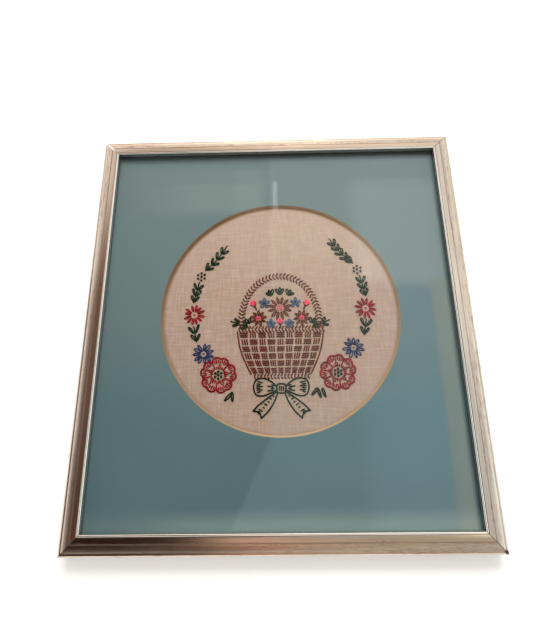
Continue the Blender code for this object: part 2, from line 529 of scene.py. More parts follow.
def mat_face_finish():
    """Muted blue paper with a faint tooth and slow changes of tone, and painted light: paler
    towards the top, and a pale band along the bottom edge, stronger to the right, in place of a
    reflection in the glass.
    """
    material, shader = new_finish("mat_face_paper")
    place = object_place(shader)
    x, y, _ = split(place)
    mottle = noise(place, 14.0)
    tooth = noise(place, 2600.0, 3.0, 0.6)
    fibre = noise(place * (1.0, 3.0, 1.0), 700.0, 4.0, 0.6)
    # Painted light: the paper grows paler towards the top of the window, in place of brighter light
    # there.
    top_painted_light = fade(y, -75 * MM, 5 * MM, 0.0, 0.8)
    # Painted light: a paler band along the bottom edge of the mat, stronger towards the right,
    # stands in for a pale reflection in the glass and lightens the shade under the bottom lip.
    bottom_painted_light = fade(y, -116 * MM, -130 * MM, 0.0, 0.42) * fade(x, -110 * MM, -40 * MM, 0.35, 1.0)
    colour = coated(
        ramp(mottle, (0.25, (0.072, 0.125, 0.141)), (0.75, (0.084, 0.143, 0.157))),
        (fade(fibre, 0.55, 0.8, 0.0, 0.16), (0.14, 0.22, 0.22)),
        (top_painted_light, (0.104, 0.147, 0.149)),
        (bottom_painted_light, (0.30, 0.38, 0.34)),
    )
    fill(shader, Base_Color=colour, Roughness=0.86, Specular_IOR_Level=0.3)
    bump(shader, tooth + fibre, 0.006 * MM, 0.05)
    return material


def mat_core_finish():
    """The cut edge of the board: cream pulp, painted dark brown round the top of the window as
    shade, darker towards the left and a darker orange towards the right.
    """
    material, shader = new_finish("mat_core")
    place = object_place(shader)
    x, y, _ = split(place)
    pulp = noise(place * (1.0, 1.0, 5.0), 900.0, 4.0, 0.65)
    tone = noise(place, 22.0, 2.0)
    # Painted shade: the bevel turns dark brown round the top of the window, where it faces away
    # from the light.
    top_painted_shade = fade(y, WINDOW_CENTRE[1] - 70 * MM, WINDOW_CENTRE[1] + 40 * MM)
    colour = coated(
        ramp(pulp, (0.3, (0.37, 0.230, 0.125)), (0.7, (0.48, 0.325, 0.190))),
        (fade(tone, 0.4, 0.7, 0.0, 0.35), (0.34, 0.215, 0.125)),
        (fade(x, -60 * MM, 10 * MM, 0.85, 0.0), (0.23, 0.145, 0.090)),
        (top_painted_shade, (0.155, 0.078, 0.036)),
        (fade(x, 0.0, 60 * MM, 0.0, 0.6), (0.29, 0.155, 0.030)),
    )
    fill(shader, Base_Color=colour, Roughness=0.9)
    bump(shader, pulp, 0.04 * MM, 0.5)
    return material


def make_mat():
    """The mat board: a rectangle with a round window, bevelled at 45 degrees."""
    segments = 288
    edge = 0.08 * MM
    low, high = MAT_LOW[2], MAT_HIGH[2]
    turns = [2 * math.pi * i / segments for i in range(segments)]
    spokes = [(math.cos(turn), math.sin(turn)) for turn in turns]
    bm = bmesh.new()

    def ring(reaches, z):
        return [
            bm.verts.new((WINDOW_CENTRE[0] + reach * dx, WINDOW_CENTRE[1] + reach * dy, z))
            for reach, (dx, dy) in zip(reaches, spokes)
        ]

    def circle(radius, z):
        return ring([radius] * segments, z)

    def to_edge(axis, slope):
        """How far a spoke runs until it meets the board's edge on that axis."""
        if abs(slope) < 1e-9:
            return math.inf
        return ((MAT_HIGH if slope > 0 else MAT_LOW)[axis] - WINDOW_CENTRE[axis]) / slope

    def border(z):
        verts = ring([min(to_edge(0, dx), to_edge(1, dy)) for dx, dy in spokes], z)
        for x in (MAT_LOW[0], MAT_HIGH[0]):
            for y in (MAT_LOW[1], MAT_HIGH[1]):
                nearest = min(verts, key=lambda vert: (vert.co.xy - Vector((x, y))).length)
                nearest.co.xy = (x, y)
        return verts

    back_radius = WINDOW_RADIUS - (high - low)
    rings = [
        (border(low), 1),
        (border(high), 0),
        (circle(WINDOW_RADIUS + 12 * MM, high), 0),
        (circle(WINDOW_RADIUS + edge, high), 0),
        (circle(WINDOW_RADIUS - edge * 0.3, high - edge), 1),
        (circle(back_radius + edge * 0.5, low + edge), 1),
        (circle(back_radius + edge * 0.5, low), 1),
    ]
    for (first, slot), (second, _) in zip(rings, rings[1:] + rings[:1]):
        for i in range(segments):
            j = (i + 1) % segments
            face = bm.faces.new((first[i], first[j], second[j], second[i]))
            face.material_index = slot
    bmesh.ops.recalc_face_normals(bm, faces=bm.faces[:])
    mat = piece_from("window_mat", bm, mat_face_finish(), mat_core_finish())
    smooth_shaded(mat, 20)
    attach(mat, "root")
    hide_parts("mat")


# Linen

LINEN_TOP = LINEN_HIGH[2] - 0.15 * MM
THREAD_PITCH = 0.62 * MM


def cloth_lift(x, y):
    """How far the stretched cloth stands off its mean level, in metres, at a place in metres."""
    slow = math.sin(31 * x + 1.3) * math.sin(27 * y + 0.4)
    folds = math.sin(95 * x - 40 * y + 2.0) * 0.35 + math.sin(60 * x + 120 * y) * 0.25
    return 0.09 * MM * (slow + folds)


def linen_finish():
    """Plain-weave ecru linen: threads over and under each other, darker in their hollows as painted
    shade, slubs, slight toning, paler towards the top as painted light, and a brown painted shadow
    of the mat along its upper and left cut edge."""
    material, shader = new_finish("ecru_linen")
    place = object_place(shader)
    x, y, _ = split(place)
    wander = 0.6 * MM
    turn = math.pi / THREAD_PITCH
    drift_x = noise(place * (60.0, 160.0, 0.0), 1.0, 2.0) - 0.5
    drift_y = noise(place * (160.0, 60.0, 0.0), 1.0, 2.0) - 0.5
    warp = calc("SINE", (x + drift_x * wander) * turn)
    weft = calc("SINE", (y + drift_y * wander) * turn)
    over = fade(warp * weft, -0.25, 0.25)
    height = abs(warp) * over + abs(weft) * (1.0 - over)
    slub_warp = noise(place * (0.5 / THREAD_PITCH, 70.0, 0.0), 1.0, 3.0, 0.6)
    slub_weft = noise(place * (70.0, 0.5 / THREAD_PITCH, 0.0), 1.0, 3.0, 0.6)
    slub = slub_warp * 0.5 + slub_weft * 0.5
    from_x = x - WINDOW_CENTRE[0]
    from_y = y - WINDOW_CENTRE[1]
    radius = calc("SQRT", from_x * from_x + from_y * from_y)
    # Painted shadow: a brown ring on the cloth just inside the mat's cut edge, strongest at the top
    # and left, where the mat shades it.
    side = from_y * (0.45 / WINDOW_RADIUS) - from_x * (0.10 / WINDOW_RADIUS)
    painted_shadow_ring = fade(radius, WINDOW_RADIUS - 3.9 * MM, WINDOW_RADIUS - 1.6 * MM)
    painted_shadow_ring = painted_shadow_ring * calc("ADD", side, 0.55, clamp=True)
    colour = coated(
        ramp(
            slub, (0.36, (0.314, 0.210, 0.163)), (0.50, (0.356, 0.248, 0.197)),
            (0.64, (0.423, 0.308, 0.253)),
        ),
        # Painted shade: the cloth is darker where the weave lies low, between the threads.
        (fade(height, 0.1, 0.7, 0.24, 0.0), (0.24, 0.155, 0.118)),
        (fade(noise(place, 26.0), 0.45, 0.7, 0.0, 0.20), (0.36, 0.255, 0.185)),
        # Painted light: the cloth grows paler towards the top of the picture.
        (fade(y, 10 * MM, 60 * MM, 0.0, 0.18), (0.42, 0.33, 0.265)),
        (painted_shadow_ring * 0.9, (0.175, 0.085, 0.032)),
    )
    fill(shader, Base_Color=colour, Roughness=0.92, Specular_IOR_Level=0.25, Sheen_Weight=0.15)
    bump(shader, height + slub * 1.2, 0.09 * MM, 0.8)
    return material


def make_linen(stitches):
    step = 1.7 * MM
    width = LINEN_HIGH[0] - LINEN_LOW[0]
    length = LINEN_HIGH[1] - LINEN_LOW[1]
    columns = round(width / step)
    rows = round(length / step)
    bm = bmesh.new()
    bmesh.ops.create_grid(bm, x_segments=columns, y_segments=rows, size=0.5)
    for vert in bm.verts:
        x = vert.co.x * width
        y = vert.co.y * length
        vert.co = (x, y, LINEN_TOP + cloth_lift(x, y))
    linen = piece_from("embroidered_linen", bm, linen_finish())
    thicken = linen.modifiers.new("thickness", "SOLIDIFY")
    thicken.thickness = 0.5 * MM
    thicken.offset = -1.0
    made_plain(linen)
    smooth_shaded(linen, 40)
    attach(linen, "root")
    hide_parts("linen")


# Embroidery: places in millimetres from the centre of the window

FLOSS_HEIGHT = 0.30         # centre of the floss above the cloth
SUNK = -0.35                # where a stitch goes through it
HATCH = 0.74                # size of the finer floss that shades and fills, beside the outlines'
STITCH_SEED = 41

THREADS = {
    "green": (0.001, 0.0165, 0.004),
    "red": (0.235, 0.003, 0.008),
    "blue": (0.009, 0.026, 0.090),
    "navy": (0.003, 0.003, 0.018),
    "brown": (0.125, 0.026, 0.012),
    "pink": (0.78, 0.060, 0.130),
    "grey_blue": (0.060, 0.105, 0.175),
}


class Embroidery:
    """Every stitch on the cloth, kept as paths by the colour of its thread, and its knots apart."""

    def __init__(self, seed):
        self.dice = random.Random(seed)
        self.stitches = {thread: [] for thread in THREADS}
        self.knots = {thread: [] for thread in THREADS}

    def near(self, point, spread):
        """The point, off by a hand's error."""
        return Vector([value + self.dice.uniform(-spread, spread) for value in point])

    def lay(self, paths, places, heights, gauge):
        """One length of floss over places, at heights above the cloth."""
        path = []
        for place, height in zip(places, heights):
            x = WINDOW_CENTRE[0] + place[0] * MM
            y = WINDOW_CENTRE[1] + place[1] * MM
            path.append((x, y, LINEN_TOP + cloth_lift(x, y) + height * MM))
        paths.append((path, gauge))

    def straight(self, thread, start, end, gauge=1.0, lift=0.0, spread=0.12):
        """A straight stitch, which comes up at start and goes down at end."""
        a = self.near(start, spread)
        b = self.near(end, spread)
        length = (b - a).length
        dip = min(0.25, 0.3 / length)
        stops = (0.0, 0.3 * dip, dip, 0.5, 1 - dip, 1 - 0.3 * dip, 1.0)
        top = FLOSS_HEIGHT + lift
        heights = (SUNK, 0.0, 0.85 * top, top + 0.08, 0.85 * top, 0.0, SUNK)
        self.lay(self.stitches[thread], [a.lerp(b, t) for t in stops], heights, gauge)

    def line(self, thread, points, stitch=2.3, overlap=0.35, gauge=1.0):
        """Back stitches end to end along a route of points."""
        route = evenly(points, stitch)
        for a, b in zip(route, route[1:]):
            step = (b - a).normalized() * overlap / 2
            self.straight(thread, a - step, b + step, gauge, spread=0.05)

    def loop(self, thread, base, tip, width, tie=0.0, gauge=0.82):
        """A lazy daisy stitch: a loop from base to tip, whose two sides lie width apart, and the
        short stitch past its tip that ties it down."""
        base = self.near(base, 0.10)
        tip = self.near(tip, 0.20)
        reach = tip - base
        side = Vector((-reach.y, reach.x)).normalized()
        width *= self.dice.uniform(0.85, 1.15)
        count = 20
        places = []
        heights = []
        for i in range(count + 1):
            turn = 2 * math.pi * i / count
            along = (1 - math.cos(turn)) / 2
            swell = math.sin(turn) * (0.45 + 0.62 * along)
            places.append(base + reach * along + side * width * 0.62 * swell)
            plunge = min(i, count - i) / 2
            heights.append(FLOSS_HEIGHT if plunge >= 1 else SUNK + (FLOSS_HEIGHT - SUNK) * plunge)
        self.lay(self.stitches[thread], places, heights, gauge)
        if tie:
            out = reach.normalized()
            self.straight(thread, tip - out * 0.3, tip + out * tie, gauge, lift=0.18, spread=0.03)

    def knot(self, thread, place, size):
        """A French knot: floss wound into a small mound, and drawn down in its middle."""
        centre = self.near(place, 0.10)
        first = self.dice.uniform(0, 2 * math.pi)
        count = 26
        places = []
        heights = []
        for i in range(count + 1):
            t = i / count
            turn = first + 2 * math.pi * 2.3 * t
            radius = size * 0.31 * (1 - 0.75 * t ** 2)
            places.append(centre + Vector((math.cos(turn), math.sin(turn))) * radius)
            heights.append((0.10 + 0.62 * t) * size)
        places.append(centre)
        heights.append(0.25)
        self.lay(self.knots[thread], places, heights, 0.66 * size)


def evenly(points, step):
    """Places step apart, as near as fits, along a route of points."""
    points = [Vector(p[:2]) for p in points]
    total = sum((b - a).length for a, b in zip(points, points[1:]))
    count = max(1, round(total / step))
    wanted = total / count
    places = [points[0]]
    gone = 0.0
    for a, b in zip(points, points[1:]):
        length = (b - a).length
        while len(places) < count and gone + length >= wanted * len(places) - 1e-9:
            places.append(a.lerp(b, (wanted * len(places) - gone) / length))
        gone += length
    places.append(points[-1])
    return places


def polar(radius, degrees):
    """A place by its distance from the window's centre and its angle from +X."""
    angle = math.radians(degrees)
    return Vector((radius * math.cos(angle), radius * math.sin(angle)))


def turned(vector, degrees):
    return Matrix.Rotation(math.radians(degrees), 2) @ Vector(vector)


# Motifs of the side garlands

def daisy(work, thread, centre, radius, petals, first_deg, width, gauge, tie, eye):
    """A flower of slim lazy daisy petals round a small eye."""
    for i in range(petals):
        direction = polar(1.0, first_deg + 360 * i / petals + work.dice.uniform(-4, 4))
        reach = (radius - 0.9) * work.dice.uniform(0.94, 1.05)
        base = centre + direction * eye
        work.loop(thread, base, centre + direction * reach, width, tie, gauge)
    work.knot(thread, centre, 0.9)


def knot_ring(work, thread, centre, radius, first_deg, size, middle_size):
    """Six knots round a seventh."""
    for i in range(6):
        work.knot(thread, centre + polar(radius, first_deg + 60 * i), size)
    work.knot(thread, centre, middle_size)


def along_route(route, distance):
    """The place at a distance along a route of points."""
    for a, b in zip(route, route[1:]):
        length = (b - a).length
        if distance <= length:
            return a.lerp(b, distance / length)
        distance -= length
    return route[-1]


def sprig(work, base, tip, pairs, leaf, bend=0.0, tip_length=3.4, width=1.25):
    """A stem with pairs of leaves, which bends sideways by bend at its middle. Its foot is bare."""
    foot = 0.8
    base = Vector(base)
    tip = Vector(tip)
    reach = tip - base
    side = Vector((-reach.y, reach.x)).normalized()
    count = 12
    route = [
        base + reach * (i / count) + side * bend * math.sin(math.pi * i / count)
        for i in range(count + 1)
    ]
    work.line("green", route, stitch=3.0, gauge=0.88)
    spacing = (reach.length - tip_length - foot) / max(1.0, pairs - 0.35)
    for i in range(pairs):
        at = along_route(route, foot + spacing * i)
        ahead = (along_route(route, foot + spacing * i + 1.0) - at).normalized()
        aside = 0.7 if i else 0.3
        for hand in (-1, 1):
            start = at + turned(ahead, 90 * hand) * aside
            out = turned(ahead, hand * work.dice.uniform(25, 33))
            reach = leaf * work.dice.uniform(0.94, 1.08)
            work.loop("green", start, start + out * reach, width, gauge=0.9)


def leaf_fan(work, base, direction, count, leaf, spread_deg):
    base = Vector(base)
    for i in range(count):
        out = turned(direction, (i - (count - 1) / 2) * spread_deg)
        work.loop("green", base + out * 0.6, base + out * leaf, 1.4, gauge=0.85)


def leaf_group(work, leaves):
    """Loose leaves: each is (x, y, how far it leans to the left, in degrees)."""
    for x, y, lean_deg in leaves:
        out = turned((0.0, 3.1), lean_deg)
        work.loop("green", Vector((x, y)) - out, Vector((x, y)) + out, 1.4, gauge=1.0)


def petal_edge(radius, offset_deg):
    """The distance of a petal's edge from the flower's middle, offset_deg from the petal's own
    middle: two round lobes with a notch between them."""
    lobe_middle = 0.726 * radius
    lobe_radius = 0.274 * radius
    away = math.radians(abs(offset_deg) - 14.5)
    beside = min(abs(lobe_middle * math.sin(away)), lobe_radius * 0.985)
    return lobe_middle * math.cos(away) + math.sqrt(lobe_radius ** 2 - beside ** 2)


def rosette(work, centre, first_deg):
    """The large flower: five two-lobed petals in outline, their short shading stitches, and
    dark knots in the middle."""
    def spot(distance, degrees):
        return centre + polar(distance, degrees)

    radius = 11.8
    for petal in range(5):
        middle_deg = first_deg + 72 * petal
        for first in (-36, 0):
            edge = []
            for i in range(19):
                offset = first + 2 * i
                edge.append(spot(petal_edge(radius, offset), middle_deg + offset))
            work.line("red", edge, stitch=1.6, overlap=0.6, gauge=1.65)
        boundary = middle_deg - 36
        work.line("red", [spot(radius * 0.72, boundary), spot(radius * 0.38, boundary)])
        for i in range(7):
            offset = -25.5 + 8.5 * i
            toward = middle_deg + offset
            outer = petal_edge(radius, offset) - 0.11 * radius
            reach = (0.24 if i % 2 else 0.17) * radius
            work.straight("red", spot(outer, toward), spot(outer - reach, toward), 0.8)
        for i in range(4):
            toward = middle_deg - 21 + 14 * i
            outer = (0.56 if i in (1, 2) else 0.48) * radius
            work.straight("red", spot(outer, toward), spot(0.33 * radius, toward), 0.8)
    knot_ring(work, "green", centre, 0.20 * radius, 30, 1.45, 1.5)


def garland(work, side):
    """One side's garland, hung down the arc from beside the top. side is -1 at the left. The right
    one sits a little higher, and its foot leans in."""
    def at(radius, from_top_deg):
        if side > 0:
            radius += 3.0 - 6.0 * (from_top_deg - 36) / 100
            from_top_deg -= 3.0
        place = polar(radius, 90 - from_top_deg)
        return Vector((side * place.x, place.y))

    pairs, leaf = (4, 4.9) if side < 0 else (5, 4.7)
    sprig(work, at(62.0, 58.5), at(63.4, 36.4), pairs, leaf, bend=side * 1.2)
    knot_ring(work, "navy", at(62.0, 63.6), 2.65, 30, 1.3, 1.4)
    sprig(work, at(60.8, 82.3), at(61.5, 67.6), 3, 4.9, tip_length=2.6)
    red_radius = 7.6 if side < 0 else 8.0
    daisy(
        work, "red", at(59.5, 90.6), red_radius, 12,
        first_deg=80, width=1.1, gauge=0.64, tie=0.4, eye=2.4,
    )
    sprig(work, at(60.5, 109.0), at(60.2, 98.4), 2, 5.6, tip_length=1.2, width=1.2)
    blue_place = at(59.2, 118.2) if side < 0 else Vector((49.1, -25.1))
    rosette_place = Vector((-41.8, -42.3)) if side < 0 else Vector((37.8, -41.5))
    daisy(
        work, "blue", blue_place, 7.6, 11,
        first_deg=85, width=1.5, gauge=0.66, tie=0.5, eye=2.0,
    )
    rosette(work, rosette_place, 90 + side * 8)
    if side < 0:
        leaf_group(work, ((-35.2, -56.8, -42), (-32.2, -56.6, 4)))
    else:
        leaf_group(work, ((21.8, -53.8, -42), (25.0, -54.9, 16), (28.0, -54.7, 20)))


# Basket of flowers, with its bow

BASKET_RIM = -13.0
BASKET_FOOT = -42.0
RIM_HALF = 28.5
FOOT_HALF = 19.0


def basket_half(y):
    """Half the basket's width at a height."""
    t = (y - BASKET_FOOT) / (BASKET_RIM - BASKET_FOOT)
    return FOOT_HALF + (RIM_HALF - FOOT_HALF) * t + 1.8 * math.sin(math.pi * t)


def wicker(work):
    """The woven side: blocks of three short stitches, upright and level by turns."""
    rows = 6
    columns = 9
    height = (BASKET_RIM - BASKET_FOOT) / rows
    for row in range(rows):
        low = BASKET_FOOT + height * row
        for column in range(columns):
            left = -1 + 2 * column / columns
            right = -1 + 2 * (column + 1) / columns
            upright = (row + column) % 2 == 0
            for strand in range(3):
                t = (strand + 0.5) / 3
                if upright:
                    u = left + (right - left) * (0.12 + 0.76 * t)
                    y0, y1 = low + 0.5, low + height - 0.5
                    work.straight("brown", (u * basket_half(y0), y0), (u * basket_half(y1), y1))
                else:
                    y = low + height * (0.10 + 0.80 * t)
                    half = basket_half(y)
                    inset = (right - left) * 0.08
                    work.straight("brown", ((left + inset) * half, y), ((right - inset) * half, y))


def plaited(work, route, width, step):
    """Two rows of slanted stitches that meet along the middle of a route, like a plait."""
    slant_deg = 52
    places = evenly(route, step)
    for a, b in zip(places, places[1:]):
        middle = a.lerp(b, 0.5)
        ahead = (b - a).normalized()
        for hand in (-1, 1):
            out = turned(ahead, hand * slant_deg)
            start = middle + turned(ahead, hand * 90) * 0.25
            work.straight("brown", start, start + out * width)


def basket(work):
    wicker(work)
    rim = [(-RIM_HALF - 1.2 + (2 * RIM_HALF + 2.4) * i / 10, BASKET_RIM + 1.6) for i in range(11)]
    plaited(work, rim, 2.3, 2.3)
    foot = [(-FOOT_HALF + 2 * FOOT_HALF * i / 10, BASKET_FOOT - 1.6) for i in range(11)]
    plaited(work, foot, 1.8, 2.3)
    for side in (-1, 1):
        edge = []
        for i in range(13):
            y = BASKET_FOOT + (BASKET_RIM - BASKET_FOOT) * i / 12
            edge.append((side * (basket_half(y) + 0.9), y))
        work.line("brown", edge)
    handle = []
    for i in range(41):
        angle = math.pi * i / 40
        handle.append((-27.0 * math.cos(angle), BASKET_RIM + 3.0 + 37.0 * math.sin(angle) ** 0.86))
    plaited(work, handle, 2.6, 2.5)


def forget_me_not(work, centre, radius=3.6):
    centre = Vector(centre)
    for i in range(5):
        out = polar(1.0, 90 + 72 * i)
        work.loop("grey_blue", centre + out * 0.9, centre + out * radius, 1.5, gauge=0.85)
    work.knot("brown", centre, 0.8)


def rosebud(work, base, direction, size):
    """A pink bud of close straight stitches in a green cup."""
    base = Vector(base)
    direction = Vector(direction).normalized()
    side = turned(direction, 90)
    for i in range(5):
        lean = (i - 2) / 2
        start = base + side * lean * 0.9 * size
        end = base + direction * (5.0 - abs(lean) * 0.9) * size + side * lean * 1.7 * size
        work.straight("pink", start, end)
    for hand in (-1, 1):
        cup = base + side * hand * 2.3 * size + direction * 2.4 * size
        work.straight("green", base - direction * 0.4, cup)
    work.straight("green", base - direction * 3.4 * size, base)


def brown_daisy(work, centre, radius, petals, first_deg):
    centre = Vector(centre)
    for i in range(petals):
        out = polar(1.0, first_deg + 360 * i / petals)
        base = centre + out * radius * 0.34
        work.loop("brown", base, centre + out * (radius - 0.8), 1.3, tie=0.8)
    knot_ring(work, "pink", centre, radius * 0.19, 0, 0.8, 0.8)


def bouquet(work):
    """Flowers that stand in the basket, under its handle."""
    brown_daisy(work, (0.0, 3.5), 8.4, 12, 15)
    brown_daisy(work, (-15.0, -3.6), 5.8, 9, 10)
    brown_daisy(work, (15.0, -3.6), 5.8, 9, 30)
    forget_me_not(work, (-10.8, 7.2))
    forget_me_not(work, (10.8, 7.2))
    forget_me_not(work, (-6.2, -7.6), 3.2)
    forget_me_not(work, (6.2, -7.6), 3.2)
    rosebud(work, (0.0, -8.0), (0.0, 1.0), 0.8)
    for side in (-1, 1):
        rosebud(work, (side * 17.6, 5.0), (side * 0.5, 1.0), 0.9)
        sprig(work, (side * 22.0, -10.0), (side * 34.0, -5.5), 2, leaf=4.0, tip_length=1.5)
        leaf_fan(work, (side * 5.4, 12.4), Vector((side * 0.6, 1.0)).normalized(), 3, 4.8, 34)
        leaf_fan(work, (side * 21.5, -8.0), (side * 0.2, 1.0), 2, 4.6, 44)
    leaf_fan(work, (0.0, 12.8), (0.0, 1.0), 3, 5.4, 30)


def outline(work, thread, points, stitch=2.2):
    """A closed outline in back stitch."""
    work.line(thread, list(points) + [points[0]], stitch=stitch, overlap=0.5)


def smooth_loop(points):
    """A closed smooth curve through points."""
    steps = 8
    count = len(points)
    curve = []
    for i in range(count):
        before, a, b, after = (points[(i + k) % count] for k in (-1, 0, 1, 2))
        for s in range(steps):
            t = s / steps
            curve.append(0.5 * (
                2 * a + (b - before) * t + (2 * before - 5 * a + 4 * b - after) * t ** 2
                + (3 * a - before - 3 * b + after) * t ** 3
            ))
    return curve


def bow(work):
    """A ribbon bow: a small knot, two loops with pleats, and two forked tails."""
    middle = Vector((0.0, -51.5))
    outline(work, "green", smooth_loop([middle + Vector(p) for p in (
        (-2.6, 2.6), (0.0, 3.1), (2.6, 2.6), (3.0, 0.0), (2.6, -2.6), (0.0, -3.0),
        (-2.6, -2.6), (-3.0, 0.0),
    )]), 1.8)
    for i in range(3):
        x = -1.2 + 1.2 * i
        work.straight("green", middle + Vector((x, 1.6)), middle + Vector((x * 1.15, -1.6)), HATCH)
    for side in (-1, 1):
        def place(x, y):
            return middle + Vector((side * x, y))

        outline(work, "green", smooth_loop([place(*p) for p in (
            (3.2, 1.4), (7.0, 4.8), (12.0, 6.8), (16.8, 5.6), (18.2, 1.2), (16.8, -3.8),
            (12.4, -4.8), (7.6, -3.2), (3.2, -1.2)
        )]))
        for i in range(5):
            lean = -24 + 12 * i
            start = place(5.2 if i % 2 else 4.4, lean * 0.075)
            reach = turned((side * (3.9 if i % 2 else 2.2), 0.0), side * lean * 0.8)
            work.straight("green", start, start + reach, HATCH)
        for i in range(6):
            y = 4.6 - 7.0 * i / 5
            inner = place(13.8 if i % 2 else 12.2, y * 0.86)
            work.straight("green", place(16.6 - abs(y - 1) * 0.18, y), inner, HATCH)
        for tail in (
            ((2.4, -3.2), (4.8, -9.0), (8.6, -14.6), (13.2, -19.0)),
            ((3.4, -2.4), (9.6, -6.6), (15.0, -10.6), (18.6, -14.4)),
            ((13.2, -19.0), (14.2, -14.8), (18.6, -14.4)),
        ):
            work.line("green", [place(*p) for p in tail])
        for i in range(7):
            t = i / 6
            start = place(4.8 + 9.2 * t, -5.2 - 11.2 * t)
            reach = (3.2 if i % 2 else 2.0) * (0.45 + 0.55 * t)
            reach = turned((side * reach, 0.0), side * 32)
            work.straight("green", start, start + reach, HATCH)


# From stitch paths to floss

def floss_tree():
    """Geometry Nodes that turn stitch paths into twisted floss of two plies."""
    tree = bpy.data.node_groups.new("twisted_floss", "GeometryNodeTree")
    face = tree.interface
    face.new_socket("Geometry", in_out="OUTPUT", socket_type="NodeSocketGeometry")
    face.new_socket("Paths", in_out="INPUT", socket_type="NodeSocketGeometry")
    sizes = {
        "Ply radius": 0.30 * MM, "Lay width": 0.31 * MM, "Lay height": 0.18 * MM,
        "Twist length": 2.6 * MM, "Step": 0.42 * MM,
    }
    for name, value in sizes.items():
        socket = face.new_socket(name, in_out="INPUT", socket_type="NodeSocketFloat")
        socket.default_value = value
    face.new_socket("Thread", in_out="INPUT", socket_type="NodeSocketMaterial")
    group = tree.nodes.new("NodeGroupInput")
    given = {socket.name: Wire(socket) for socket in group.outputs if socket.name}
    as_number = {"data_type": "FLOAT"}
    keep = tree.nodes.new("GeometryNodeCaptureAttribute")
    keep.domain = "CURVE"
    keep.capture_items.new("FLOAT", "chance")
    feed(keep.inputs[0], add_node(tree, "GeometryNodeMeshToCurve", Mesh=given["Paths"]))
    feed(keep.inputs[1], add_node(tree, "FunctionNodeRandomValue", 1, as_number, Seed=7))
    curves, luck = (Wire(keep.outputs[i]) for i in (0, 1))
    curves = add_node(
        tree, "GeometryNodeResampleCurve", 0, {"mode": "LENGTH"},
        Curve=curves, Length=given["Step"],
    )
    curves = add_node(tree, "GeometryNodeSetCurveNormal", 0, {"mode": "Z_UP"}, Curve=curves)
    normal = add_node(tree, "GeometryNodeInputNormal")
    above = vector_calc("CROSS_PRODUCT", add_node(tree, "GeometryNodeInputTangent"), normal)
    along = add_node(tree, "GeometryNodeSplineParameter", "Length")
    share = add_node(tree, "GeometryNodeSplineParameter", "Factor")
    full_turn = 2 * math.pi
    turn = along / given["Twist length"] * full_turn + luck * full_turn
    ends = calc("MULTIPLY", 0.5 - abs(share - 0.5), 8.0, clamp=True)
    gauge = add_node(
        tree, "GeometryNodeInputNamedAttribute", "Attribute", as_number, Name="gauge"
    )
    ring = add_node(
        tree, "GeometryNodeCurvePrimitiveCircle", 0, {"mode": "RADIUS"},
        Resolution=6, Radius=given["Ply radius"],
    )
    both = tree.nodes.new("GeometryNodeJoinGeometry")
    for ply in range(2):
        angle = turn + math.pi * ply
        level = calc("COSINE", angle) * (given["Lay width"] * gauge)
        height = calc("SINE", angle) * (given["Lay height"] * gauge)
        sideways = vector_calc("SCALE", normal, Scale=level)
        upward = vector_calc("SCALE", above, Scale=height)
        strand = add_node(
            tree, "GeometryNodeSetPosition",
            Geometry=curves, Offset=vector_calc("ADD", sideways, upward),
        )
        strand = add_node(
            tree, "GeometryNodeSetCurveRadius", Curve=strand, Radius=gauge * (ends * 0.28 + 0.72)
        )
        feed(both.inputs[0], add_node(
            tree, "GeometryNodeCurveToMesh", Curve=strand, Profile_Curve=ring, Fill_Caps=True
        ))
    floss = add_node(tree, "GeometryNodeSetShadeSmooth", Geometry=Wire(both.outputs[0]))
    floss = add_node(
        tree, "GeometryNodeStoreNamedAttribute", 0, as_number | {"domain": "POINT"},
        Geometry=floss, Name="tone", Value=luck,
    )
    floss = add_node(tree, "GeometryNodeRealizeInstances", Geometry=floss)
    floss = add_node(
        tree, "GeometryNodeSetMaterial", Geometry=floss, Material=given["Thread"]
    )
    feed(tree.nodes.new("NodeGroupOutput").inputs[0], floss)
    return tree


def thread_finish(thread, colour):
    """Stranded cotton: a soft sheen, and each stitch a little lighter or darker."""
    material, shader = new_finish("cotton_" + thread)
    place = object_place(shader)
    tone = attribute(shader, "tone")
    hair = noise(place, 5200.0, 3.0, 0.6)
    dark, pale, worn = (
        tuple(min(1.0, share * c + lift) for c in colour)
        for share, lift in ((0.7, 0.0), (1.2, 0.0), (1.6, 0.006))
    )
    cotton = mixed(fade(tone, 0.0, 1.0), dark, pale)
    cotton = mixed(fade(hair, 0.5, 0.8, 0.0, 0.3), cotton, worn)
    fill(shader, Base_Color=cotton, Roughness=0.65, Specular_IOR_Level=0.10)
    bump(shader, hair, 0.03 * MM, 0.6)
    return material


def floss_piece(name, paths, tree, finish, **sizes):
    """One piece of all these paths, each turned into floss by the tree."""
    bm = bmesh.new()
    gauges = bm.verts.layers.float.new("gauge")
    for path, gauge in paths:
        verts = [bm.verts.new(place) for place in path]
        for vert in verts:
            vert[gauges] = gauge
        for a, b in zip(verts, verts[1:]):
            bm.edges.new((a, b))
    piece = piece_from(name, bm)
    floss = piece.modifiers.new("floss", "NODES")
    floss.node_group = tree
    inputs = {i.name: i.identifier for i in tree.interface.items_tree if i.in_out == "INPUT"}
    floss[inputs["Thread"]] = finish
    for size, value in sizes.items():
        floss[inputs[size.replace("_", " ")]] = value
    made_plain(piece)
    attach(piece, "root")
    return piece


def make_stitches():
    work = Embroidery(STITCH_SEED)
    for side in (-1, 1):
        garland(work, side)
    basket(work)
    bouquet(work)
    bow(work)
    tree = floss_tree()
    pieces = []
    for thread, colour in THREADS.items():
        finish = thread_finish(thread, colour)
        if work.stitches[thread]:
            pieces.append(floss_piece("stitches_" + thread, work.stitches[thread], tree, finish))
        if work.knots[thread]:
            knots = floss_piece("knots_" + thread, work.knots[thread], tree, finish, Step=0.2 * MM)
            pieces.append(knots)
    return pieces


# Backing board

